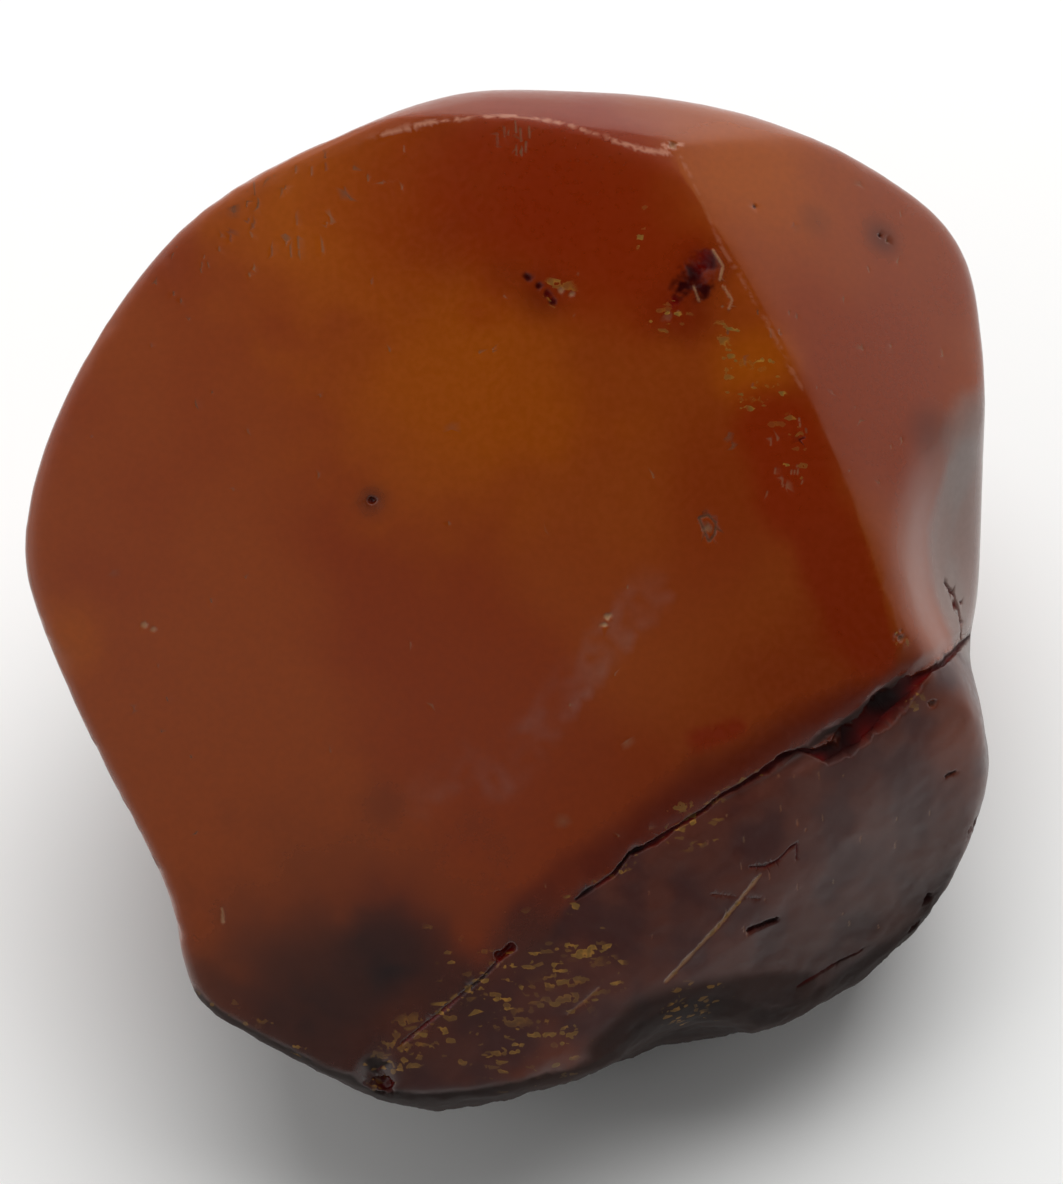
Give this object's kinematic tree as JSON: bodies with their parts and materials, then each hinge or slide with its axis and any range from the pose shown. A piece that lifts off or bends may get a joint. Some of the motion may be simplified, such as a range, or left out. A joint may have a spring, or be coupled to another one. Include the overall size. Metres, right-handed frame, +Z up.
{
  "type": "amber nugget",
  "caption": "Rounded lump of red-brown fossil resin with a broad polished face, a ground side face and top bevel, and an unpolished lower lobe behind a fissure.",
  "frame": {"origin": "centre of the bounding box in X and Y, at the height of the resting flat", "axes": "+Z up from the resting flat; +X across the broad polished face to its right; +Y away from the viewer, so the broad face leans towards -Y"},
  "size_m": [0.0558, 0.0572, 0.0387],
  "materials": {
    "amber": "satin polish, see-through at depth; dull and pitted on the lower lobe"
  },
  "bodies": {
    "root": {"nugget": "amber"}
  },
  "joints": []
}
